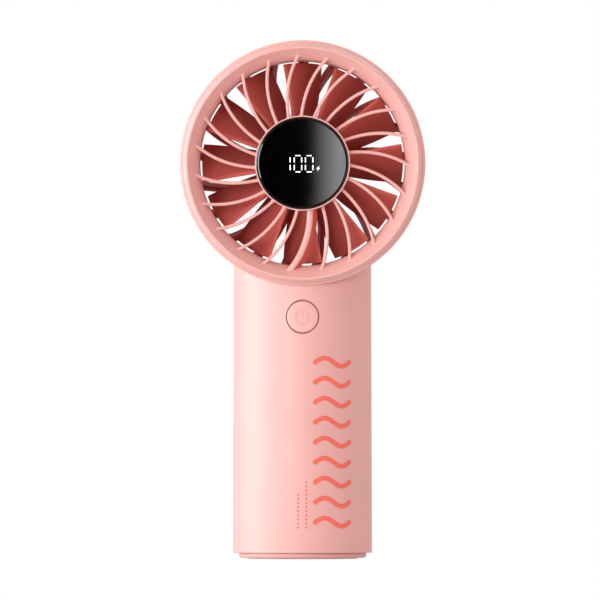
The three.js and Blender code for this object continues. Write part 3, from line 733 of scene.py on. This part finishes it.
def guide_vane(angle):
    """A vane behind the blades, from the motor's seat to the duct's wall."""
    return plate(
        radii=(SEAT_R - 0.4, DUCT_R + 0.5),
        depths=(LINER.high.y + FIT, 15),
        angle=lambda u, v: angle + VANE_SWEEP * lean(u) + VANE_TWIST * v,
        half=lambda u, v: (0.45 + 0.15 * u) * (1 - 0.45 * v) * flare(u, 0.6),
        nose=0.06,
        tail=0.03,
        between=5,
    )


def build_liner():
    """The tube that the blades run in, with a flange at its back end."""
    wall_r = DUCT_R + DUCT_WALL
    front = LINER.low.y
    back = LINER.high.y
    wall = [
        (DUCT_R + DUCT_WALL / 2, front, 0.2),
        (wall_r, front, 0.2),
        (wall_r, back - FLANGE),
        (PLUG_R, back - FLANGE, 0.15),
        (PLUG_R, back, 0.15),
        (DUCT_R, back, 0.2),
        (DUCT_R, front + 2, 0.8),
    ]
    strut_turn = STRUT_ANGLE + STRUT_SWEEP
    strut_notch = box((-1.2, front - 1, 30), (1.2, front + 1.2, 36)).turned(strut_turn, "Y")
    lead_notch = box((-3.5, back - 3, wall_r), (3.5, back + 1, 38)).turned(strut_turn, "Y")
    made = combined(
        "liner",
        lathe(eased(wall)).moved(z=HEAD_Z),
        [("DIFFERENCE", (strut_notch + lead_notch).moved(z=HEAD_Z))],
    )
    finished(made, GRILLE_PINK, "housing", ["duct_liner"])


def build_guide_vanes():
    """The vanes behind the blades, the motor's seat inside them and the end of the duct round them."""
    front = LINER.high.y + FIT
    back = VANES.high.y
    flange_y = back - FLANGE
    wall = lathe(
        eased(
            [
                (DUCT_R, front, 0.2),
                (DUCT_R + DUCT_WALL, front, 0.2),
                (DUCT_R + DUCT_WALL, flange_y),
                (PLUG_R, flange_y, 0.15),
                (PLUG_R, back, 0.15),
                (DUCT_R, back, 0.3),
            ]
        )
    )
    bore = SEAT_R - DUCT_WALL
    seat_back = 16.4
    seat = lathe(
        eased(
            [
                (bore, VANES.low.y, 0.2),
                (SEAT_R, VANES.low.y, 0.4),
                (SEAT_R, seat_back, 0.3),
                (bore, seat_back, 0.2),
                (bore, 7.5),
                (1, 7.5),
                (1, 5.9),
                (bore, 5.9),
            ]
        ),
        MEDIUM,
    )
    vanes = total(around(VANE_COUNT, lambda k, turn: guide_vane(VANE_ANGLE + turn)))
    screw_hole = lathe([(0, 2), (0.95, 2), (0.95, 10), (0, 10)], SMALL).moved(z=6.5)
    screw_holes = screw_hole.turned(60, "Y") + screw_hole.turned(240, "Y")
    lead_turn = VANE_ANGLE + VANE_TWIST + 360 * LEAD_VANE / VANE_COUNT
    seat_notch = box((-1.2, 15.1, 10), (1.2, back + 1, 15))
    rim_notch = box((-1.2, 15.1, 30), (1.2, back + 1, 38))
    notches = seat_notch.turned(lead_turn, "Y") + rim_notch.turned(lead_turn + VANE_SWEEP, "Y")
    made = combined(
        "vanes",
        (wall + seat).moved(z=HEAD_Z),
        [
            ("UNION", vanes.moved(z=HEAD_Z)),
            ("DIFFERENCE", screw_holes.moved(z=HEAD_Z)),
            ("DIFFERENCE", notches.moved(z=HEAD_Z)),
        ],
    )
    # Painted shade: the vanes are pink plastic drawn in the dark red of their shade in the duct.
    finished(made, DUCT_SHADE_PAINT, "housing", ["guide_vanes"])


def fan_blade(angle):
    """A blade with a round leading edge, thinning towards its tip and its trailing edge."""
    hub_sweep = 26.1
    tip_sweep = 21.6
    return plate(
        radii=(HUB_R - 0.6, 31.7),
        depths=(-14.6, 1.6),
        angle=lambda u, v: angle + (hub_sweep + (tip_sweep - hub_sweep) * u) * v,
        half=lambda u, v: (0.72 - 0.25 * u) * (1 - 0.35 * v) * (1 + 0.4 * max(0, 1 - u / 0.08) ** 2),
        nose=0.035,
        tail=0.02,
        between=14,
        steps=22,
    )


def build_impeller():
    """The wheel: its blades round a cup that goes over the motor's can."""
    nose = -15.6
    floor = -13.4
    open_end = 2.6
    bore_r = 12.4
    shaft_r = 0.85
    hub = lathe(
        eased(
            [
                (0, nose),
                (HUB_R, nose, 2),
                (HUB_R, open_end, 0.3),
                (bore_r, open_end, 0.2),
                (bore_r, floor),
                (shaft_r, floor),
                (shaft_r, nose + 0.5),
                (0, nose + 0.5),
            ],
            closed=False,
        ),
        MEDIUM,
    )
    blades = total(around(BLADE_COUNT, lambda k, turn: fan_blade(BLADE_ANGLE + turn)))
    made = combined("impeller_fine", hub.moved(z=HEAD_Z), [("UNION", blades.moved(z=HEAD_Z))])
    # Painted shade: the wheel is pink plastic drawn in the dark red of its shade in the duct.
    finished(made, DUCT_SHADE_PAINT, "rotor", ["impeller"])


# ---------------------------------------------------------------- display


LENS_FACE_R = 13.65


def lens_depth(r):
    """Depth of the lens's domed face at a radius."""
    return LENS.low.y + 0.26 * (r / LENS_FACE_R) ** 2


def build_lens():
    """A domed face with a soft edge, and a bevel round it that is one step lower."""
    steps = 24
    radii = [LENS_FACE_R * k / steps for k in range(steps + 1)]
    edge_y = lens_depth(LENS_FACE_R)
    edge_r = LENS_FACE_R + 0.08
    bevel_top = edge_y + 0.2
    bevel_foot = edge_y + 0.65
    skin = [
        *[(r, lens_depth(r)) for r in radii],
        (edge_r, edge_y + 0.08, 0.04),
        (edge_r, bevel_top),
        (LENS_FACE_R + 0.14, bevel_top),
        (LENS_FACE_R + 0.74, bevel_foot, 0.08),
        (LENS.radius, bevel_foot, 0.05),
        (LENS.radius, LENS.high.y),
        (0, LENS.high.y),
    ]
    lens = lathe(eased(skin, closed=False)).moved(z=HEAD_Z)
    made = finished(mesh_object("lens", lens), LENS_BLACK, "housing", ["display_lens"], sharp=20)
    made.data.materials.append(LENS_BEVEL)
    for face in made.data.polygons:
        r = hypot(face.center.x / MM, face.center.z / MM - HEAD_Z)
        face.material_index = int(r > LENS_FACE_R + 0.1)


def tile(outline, thickness=0.05, lift=0.01):
    """A flat tile just proud of the lens, from an outline in x and z about the lens's centre."""
    front = [(x, lens_depth(hypot(x, z)) - lift - thickness, z) for x, z in outline]
    back = [(x, lens_depth(hypot(x, z)) - lift, z) for x, z in outline]
    return loft([front, back]).moved(z=HEAD_Z)


def bar(x, z, width, height, chamfer=0.09):
    """A display segment: a bar with its corners taken off."""
    w = width / 2
    h = height / 2
    c = min(chamfer, w / 2, h / 2)
    right = [(w - c, h), (w, h - c), (w, c - h), (w - c, -h)]
    left = [(-a, -b) for a, b in right]
    return tile([(x + a, z + b) for a, b in right + left])


STROKE = 0.3
SEGMENT = 1.62
FIGURE_RISE = 2.55
FIGURE_REACH = 1.17


def upright_pair(x):
    """The two upright segments on one side of a figure."""
    return [bar(x, side * 1.2, STROKE, SEGMENT) for side in (-1, 1)]


def zero(x):
    """A seven-segment zero, whose middle segment is dark."""
    ends = [bar(x, side * FIGURE_RISE, SEGMENT, STROKE) for side in (-1, 1)]
    return upright_pair(x - FIGURE_REACH) + upright_pair(x + FIGURE_REACH) + ends


def charge_bolt(x, z):
    """The small charging sign, which looks the same upside down."""
    half = [(0.4, 0.84), (-0.6, -0.14), (-0.04, -0.14)]
    outline = half + [(-a, -b) for a, b in half]
    return tile([(x + a, z + b) for a, b in outline])


def build_digits():
    """The readout, whose middle is a little below the lens's."""
    drop = 0.2
    shapes = [*upright_pair(-3.9), *zero(-1.44), *zero(2.08), charge_bolt(4.92, -1.44)]
    readout = total(shapes).moved(z=-drop)
    finished(mesh_object("display_digits", readout), DIGIT_WHITE, "housing")


# ---------------------------------------------------------------- button


def ribbon(points, width):
    """A thin strip along points in x and z, sunk a little into the plane y = 0."""
    loops = []
    for here, along in directions(points):
        side = Vector((-along.y, along.x)) * width / 2
        edges = [here + side, here - side]
        raised = [(edge.x, -PRINT_LIFT, edge.y) for edge in edges]
        sunk = [(edge.x, PRINT_ROOT, edge.y) for edge in reversed(edges)]
        loops.append(raised + sunk)
    return loft(loops)


def build_button():
    """The cap's face follows the grip and is dished a little in the middle."""

    def shaped(p):
        """A point of the cap's front, moved onto the dished face."""
        if p.y > BUTTON.low.y + 2:
            return p
        r = hypot(p.x, p.z)
        base = -sqrt((GRIP_R + 0.1) ** 2 - p.x**2)
        dish = 0.22 * max(0, 1 - (r / (BUTTON_R - 0.7)) ** 2) ** 1.5
        drop = p.y - BUTTON.low.y
        return Vector((p.x, base + dish + drop, p.z))

    front = BUTTON.low.y
    flange = -18.3
    flange_r = BUTTON_R + 1.1
    stem_r = 1.6
    crown = [(BUTTON_R * k / 30, front) for k in range(28)]
    skin = [
        *crown,
        (BUTTON_R, front, 0.4),
        (BUTTON_R, flange),
        (flange_r, flange, 0.2),
        (flange_r, flange + 1, 0.2),
        (stem_r, flange + 1),
        (stem_r, BUTTON.high.y, 0.2),
        (0, BUTTON.high.y),
    ]
    cap = lathe(eased(skin, closed=False), MEDIUM).bent(shaped).moved(z=BUTTON_Z)
    finished(mesh_object("button_cap", cap), BUTTON_PINK, "button", ["power_button"])

    def on_cap(p):
        """A point near the plane y = 0, laid on the cap's face."""
        face = shaped(Vector((p.x, front, p.z)))
        return Vector((p.x, face.y + p.y, p.z))

    ring = arc(0, -0.15, 2.1, 2.1, 122, 418, 48)
    stroke = [(0, 0.55 + 1.75 * k / 8) for k in range(9)]
    width = 0.42
    icon = (ribbon(ring, width) + ribbon(stroke, width)).bent(on_cap).moved(z=BUTTON_Z)
    finished(mesh_object("power_icon", icon), ICON_PINK, "button")


# ---------------------------------------------------------------- base and port


def build_base():
    """The cap that plugs into the grip, and the soft pad with ring grooves under it."""
    recess_r = 17.6
    recess = 0.85
    brim = GRIP_BOTTOM - 0.1
    plug_r = BORE_R - FIT
    plug_bore_r = 18
    plate_top = 3
    skin = [
        (0, recess),
        (recess_r, recess),
        (recess_r, CAP.low.z, 0.15),
        (CAP.radius, CAP.low.z, 0.9),
        (CAP.radius, brim, 0.1),
        (plug_r, brim),
        (plug_r, CAP.high.z, 0.3),
        (plug_bore_r, CAP.high.z, 0.3),
        (plug_bore_r, plate_top),
        (0, plate_top),
    ]
    made = combined(
        "base_cap_fine",
        upright(lathe(eased(skin, closed=False))),
        [("DIFFERENCE", total(screw_well(side * 12) for side in (-1, 1)))],
    )
    finished(made, SHELL_PINK, "housing", ["base_cap"])
    groove = 0.14
    grooves = [(r, 0 if r % 2 else groove) for r in range(15, 2, -1)]
    pad_skin = [
        (0, PAD.high.z),
        (PAD.radius, PAD.high.z, 0.1),
        (PAD.radius, 0, 0.25),
        *[(r + shift, y, 0.06) for r, y in grooves for shift in (0.45, -0.4)],
        (0, 0),
    ]
    pad = upright(lathe(eased(pad_skin, closed=False, steps=3)))
    finished(mesh_object("pad", pad), BY_SLOT["pad"], "housing", ["base_pad"])


def screw_well(x):
    """A counterbored screw hole through the base cap."""
    profile = [(0, 0), (2.4, 0), (2.4, 2.3), (1.25, 2.3), (1.25, 5), (0, 5)]
    return upright(lathe(profile, SMALL)).moved(x=x)


def build_port():
    """The socket's steel shell, its tongue, and the contacts on both sides of the tongue."""
    front = PORT.high.y
    back = PORT.low.y
    outside = (PORT.high.x - PORT.low.x, PORT.high.z - PORT.low.z)
    inside = (outside[0] - 0.6, outside[1] - 0.7)
    mouth = [
        slot_loop(*outside, back),
        slot_loop(*outside, front - 0.12),
        slot_loop(outside[0] - 0.16, outside[1] - 0.16, front),
        slot_loop(inside[0] + 0.2, inside[1] + 0.2, front),
        slot_loop(*inside, front - 0.2),
        slot_loop(*inside, back + 0.5),
    ]
    finished(
        mesh_object("socket_shell", loft(mouth).moved(z=PORT_Z)),
        BY_SLOT["steel"],
        "housing",
        ["port_receptacle"],
    )
    width = TONGUE.high.x - TONGUE.low.x
    height = TONGUE.high.z - TONGUE.low.z
    blade = [
        slot_loop(width, height, TONGUE.low.y),
        slot_loop(width, height, TONGUE.high.y - 0.3),
        slot_loop(width - 0.4, height - 0.3, TONGUE.high.y),
    ]
    finished(
        mesh_object("socket_tongue", loft(blade).moved(z=PORT_Z)),
        SOCKET_BLACK,
        "housing",
        ["port_tongue"],
    )
    count = 12
    pitch = 0.5
    half = 0.13
    leaf = 0.04
    contacts = [
        box((x - half, TONGUE.high.y - 3.4, z), (x + half, TONGUE.high.y - 0.5, z + leaf)).moved(z=PORT_Z)
        for x in [pitch * (k - (count - 1) / 2) for k in range(count)]
        for z in (height / 2, -height / 2 - leaf)
    ]
    finished(mesh_object("socket_contacts", total(contacts)), CONTACT_GOLD, "housing")


# ---------------------------------------------------------------- printed ornament


def on_grip(x, z, lift):
    """A point on the grip's front at a sideways distance along its surface and a height."""
    share = (z - GRIP_BOTTOM) / (GRIP_TOP - GRIP_BOTTOM)
    r = GRIP_FOOT_R + (GRIP_R - GRIP_FOOT_R) * share + lift
    a = x / r
    return Vector((r * sin(a), -r * cos(a), z))


def printed_strip(points, width):
    """A round-ended strip on the grip's front, along points given as (sideways, height)."""
    half = width / 2
    rows = list(directions(points))
    caps = [radians(90 * k / 6) for k in range(6)]
    start, ahead = rows[0]
    end, last = rows[-1]
    spine = [(start - ahead * half * cos(a), ahead, half * sin(a)) for a in caps]
    spine += [(p, along, half) for p, along in rows]
    spine += [(end + last * half * cos(a), last, half * sin(a)) for a in reversed(caps)]
    loops = []
    for p, along, reach in spine:
        side = Vector((-along.y, along.x)) * max(reach, 0.01)
        edge = [p + side * t for t in (-1, -0.5, 0, 0.5, 1)]
        top = [on_grip(q.x, q.y, PRINT_LIFT) for q in edge]
        under = [on_grip(q.x, q.y, -PRINT_ROOT) for q in reversed(edge)]
        loops.append(top + under)
    return loft(loops)


def printed_dot(x, z, radius):
    """A small disc on the grip's front."""
    sides = 12
    turns = [tau * k / sides for k in range(sides)]
    outline = [(x + radius * cos(a), z + radius * sin(a)) for a in turns]
    return loft([[on_grip(a, b, lift) for a, b in outline] for lift in (PRINT_LIFT, -PRINT_ROOT)])


def build_ornament():
    """A stack of breeze waves up the grip and two short columns of dots beside it, in place of any words."""
    left = 4
    length = 12.2
    swing = 1.3
    steps = 24
    shapes = []
    for row in range(9):
        middle = 11.7 + 6.3 * row
        shares = [k / steps for k in range(steps + 1)]
        wave = [(left + length * share, middle + swing * sin(tau * share)) for share in shares]
        shapes.append(printed_strip(wave, 1.55))
    for x, count in ((1.2, 12), (-1.4, 9)):
        shapes += [printed_dot(x, 10 + 1.3 * k, 0.36) for k in range(count)]
    finished(mesh_object("printed_breeze", total(shapes)), PRINT_CORAL, "housing")


# ---------------------------------------------------------------- CAD nodes that stay


def dress_cad_nodes():
    """Each CAD node that is shown as it is gets the material of its slot."""
    for part in frame["record"]["subparts"]:
        node = frame["nodes"][part["node"]]
        for place in node.material_slots:
            place.material = BY_SLOT[part["material_slot"]]


# ---------------------------------------------------------------- stage


STUDIO_AIM = Vector((0, 0, 0.1))


def area_light(name, place, target, size, power, color=(1, 1, 1), mirrored=True):
    """A soft box, which gloss needn't mirror. Places and sizes are in metres."""
    data = bpy.data.lights.new(name, "AREA")
    data.shape = "RECTANGLE"
    data.size, data.size_y = size
    data.energy = power
    data.color = color
    light = bpy.data.objects.new(name, data)
    light.location = place
    light.rotation_euler = (Vector(target) - Vector(place)).to_track_quat("-Z", "Y").to_euler()
    light.visible_camera = False
    light.visible_glossy = mirrored
    bpy.context.scene.collection.objects.link(light)
    return data


def studio_place(turn, rise, distance):
    """A place round the head: turn is degrees to the right of the front, rise degrees above level."""
    flat = distance * cos(radians(rise))
    height = distance * sin(radians(rise))
    return STUDIO_AIM + Vector((flat * sin(radians(turn)), -flat * cos(radians(turn)), height))


def build_lights():
    """Boxes from the left to the right of the front, one behind, and a far card that the lens mirrors."""
    boxes = (
        ("low_front_box", (-21, 5, 1.75), (0.5, 0.3), 7.6, (0.9, 1, 1), True),
        ("low_left_box", (-50, 1, 1.3), (0.7, 0.24), 4.8, (1, 0.96, 0.95), False),
        ("left_wide_box", (-75, 4, 1.3), (0.8, 1.0), 8, (0.76, 0.96, 1), True),
        ("left_strip", (-96, 6, 0.95), (0.5, 1.1), 4.8, (0.84, 0.95, 1), True),
        ("right_fill", (62, 9, 1.3), (1.3, 1.2), 3.4, (1, 0.74, 0.69), False),
        ("back_box", (145, 45, 1.5), (0.6, 0.6), 3, (1, 1, 1), True),
    )
    for name, place, size, power, color, mirrored in boxes:
        area_light(name, studio_place(*place), STUDIO_AIM, size, power, color, mirrored)
    card = area_light("lens_card", (0.23, -4.5, 0.3), (0.23, 0, 0.3), (0.3, 1.5), 1)
    card.use_nodes = True
    nodes = card.node_tree.nodes
    links = card.node_tree.links
    place = nodes.new("ShaderNodeNewGeometry")
    split = nodes.new("ShaderNodeSeparateXYZ")
    spread = nodes.new("ShaderNodeMapRange")
    spread.inputs["To Max"].default_value = 12
    links.new(place.outputs["Parametric"], split.inputs["Vector"])
    links.new(split.outputs["X"], spread.inputs["Value"])
    links.new(spread.outputs["Result"], nodes["Emission"].inputs["Strength"])


def build_world():
    """White to the camera. Gloss mirrors a bright wall behind the fan and a dark room in front of it."""
    world = bpy.data.worlds.new("studio")
    bpy.context.scene.world = world
    world.use_nodes = True
    nodes = world.node_tree.nodes
    links = world.node_tree.links
    nodes.clear()
    output = nodes.new("ShaderNodeOutputWorld")
    path = nodes.new("ShaderNodeLightPath")
    place = nodes.new("ShaderNodeTexCoord")
    split = nodes.new("ShaderNodeSeparateXYZ")
    links.new(place.outputs["Generated"], split.inputs["Vector"])

    def backdrop(strength, color=(1, 1, 1)):
        shade = nodes.new("ShaderNodeBackground")
        shade.inputs["Color"].default_value = (*color, 1)
        shade.inputs["Strength"].default_value = strength
        return shade

    def behind(dark, bright):
        """Bright behind the fan and dark in front of it."""
        spread = nodes.new("ShaderNodeMapRange")
        spread.interpolation_type = "SMOOTHSTEP"
        spread.inputs["From Min"].default_value = -0.2
        spread.inputs["From Max"].default_value = 0.5
        spread.inputs["To Min"].default_value = dark
        spread.inputs["To Max"].default_value = bright
        links.new(split.outputs["Y"], spread.inputs["Value"])
        shade = backdrop(1)
        links.new(spread.outputs["Result"], shade.inputs["Strength"])
        return shade

    def choose(ray, others, chosen):
        blend = nodes.new("ShaderNodeMixShader")
        links.new(path.outputs[ray], blend.inputs["Fac"])
        links.new(others.outputs[0], blend.inputs[1])
        links.new(chosen.outputs[0], blend.inputs[2])
        return blend

    even = backdrop(0.66, (0.95, 0.95, 0.95))
    mirrored = choose("Is Glossy Ray", even, behind(0.0, 0.7))
    seen = choose("Is Camera Ray", mirrored, backdrop(1))
    links.new(seen.outputs[0], output.inputs["Surface"])


def build_floor():
    """A floor lit from below, white to the camera so that it runs into the backdrop, and not mirrored."""
    reach = 1500
    corners = [(-reach, -reach, 0), (reach, -reach, 0), (reach, reach, 0), (-reach, reach, 0)]
    floor = mesh_object("floor", Shape(corners, [(0, 1, 2, 3)]))
    material, nodes, links, shader = blank("floor_paper")
    tooth = noise(nodes, links, 900, 3)
    tinted(nodes, links, tooth, (0.4, 0.4, 0.4), 0.01, shader.inputs["Base Color"])
    shader.inputs["Roughness"].default_value = 0.9
    shader.inputs["Specular IOR Level"].default_value = 0.1
    shader.inputs["Emission Color"].default_value = (1, 0.97, 0.96, 1)
    shader.inputs["Emission Strength"].default_value = 0.3
    lit = nodes.new("ShaderNodeEmission")
    lit.inputs["Strength"].default_value = 1
    path = nodes.new("ShaderNodeLightPath")
    blend = nodes.new("ShaderNodeMixShader")
    output = nodes["Material Output"]
    links.new(path.outputs["Is Camera Ray"], blend.inputs["Fac"])
    links.new(shader.outputs["BSDF"], blend.inputs[1])
    links.new(lit.outputs["Emission"], blend.inputs[2])
    links.new(blend.outputs["Shader"], output.inputs["Surface"])
    floor.data.materials.append(material)
    floor.visible_glossy = False


def build_camera():
    """Level with the middle of the fan, square to its front and far away."""
    distance = 8
    picture_width = 0.1895
    data = bpy.data.cameras.new("camera")
    data.sensor_width = 36
    data.lens = data.sensor_width * distance / picture_width
    data.clip_end = 100
    camera = bpy.data.objects.new("camera", data)
    camera.location = (-0.0008, -distance, 0.0817)
    camera.rotation_euler = (pi / 2, 0, 0)
    bpy.context.scene.collection.objects.link(camera)
    bpy.context.scene.camera = camera


build_camera()
build_shell()
build_front_grille()
build_rear_grille()
build_liner()
build_guide_vanes()
build_impeller()
build_lens()
build_digits()
build_button()
build_base()
build_port()
build_ornament()
dress_cad_nodes()
build_world()
build_lights()
build_floor()
bpy.context.scene.view_settings.view_transform = "Standard"
